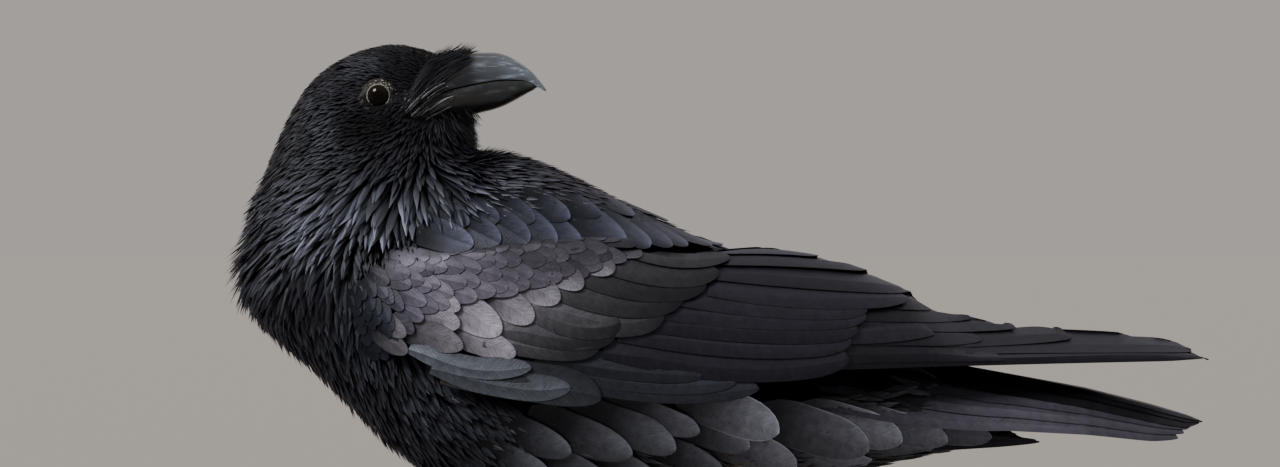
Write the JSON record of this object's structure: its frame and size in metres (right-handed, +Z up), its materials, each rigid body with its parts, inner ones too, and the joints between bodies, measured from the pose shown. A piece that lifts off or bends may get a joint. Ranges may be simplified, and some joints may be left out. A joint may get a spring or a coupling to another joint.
{
  "type": "common raven",
  "caption": "Life-size still model of a raven that stands on both feet, wings folded, with its head turned back over its left wing.",
  "frame": {"origin": "on the floor, at the middle of the bird's bounding box", "axes": "+Z up, +X along the body from breast to tail tip, so the breast faces -X; the bird's left side faces -Y, and the turned head's bill points to +X"},
  "size_m": [0.4805, 0.1438, 0.3425],
  "materials": {
    "feathers": "soft black contour feathers with a blue-violet gloss",
    "flight_feathers": "satin black flight feathers and coverts with a purple and lilac sheen",
    "bill_horn": "slate-black horn, satin",
    "claw_horn": "black horn, polished by wear",
    "leg_scales": "black horny scutes and pads, matt",
    "eye": "wet dark brown eye"
  },
  "bodies": {
    "root": {"bill_lower": "bill_horn", "bill_upper": "bill_horn", "claw_back_left": "claw_horn", "claw_back_right": "claw_horn", "claw_inner_left": "claw_horn", "claw_inner_right": "claw_horn", "claw_middle_left": "claw_horn", "claw_middle_right": "claw_horn", "claw_outer_left": "claw_horn", "claw_outer_right": "claw_horn", "eye_left": "eye", "eye_right": "eye", "foot_left": "leg_scales", "foot_right": "leg_scales", "head": "feathers", "nasal_tuft": "feathers", "neck": "feathers", "shank_left": "leg_scales", "shank_right": "leg_scales", "tail": "flight_feathers", "thigh_left": "feathers", "thigh_right": "feathers", "trunk": "feathers", "wing_left": "flight_feathers", "wing_right": "flight_feathers"}
  },
  "joints": []
}
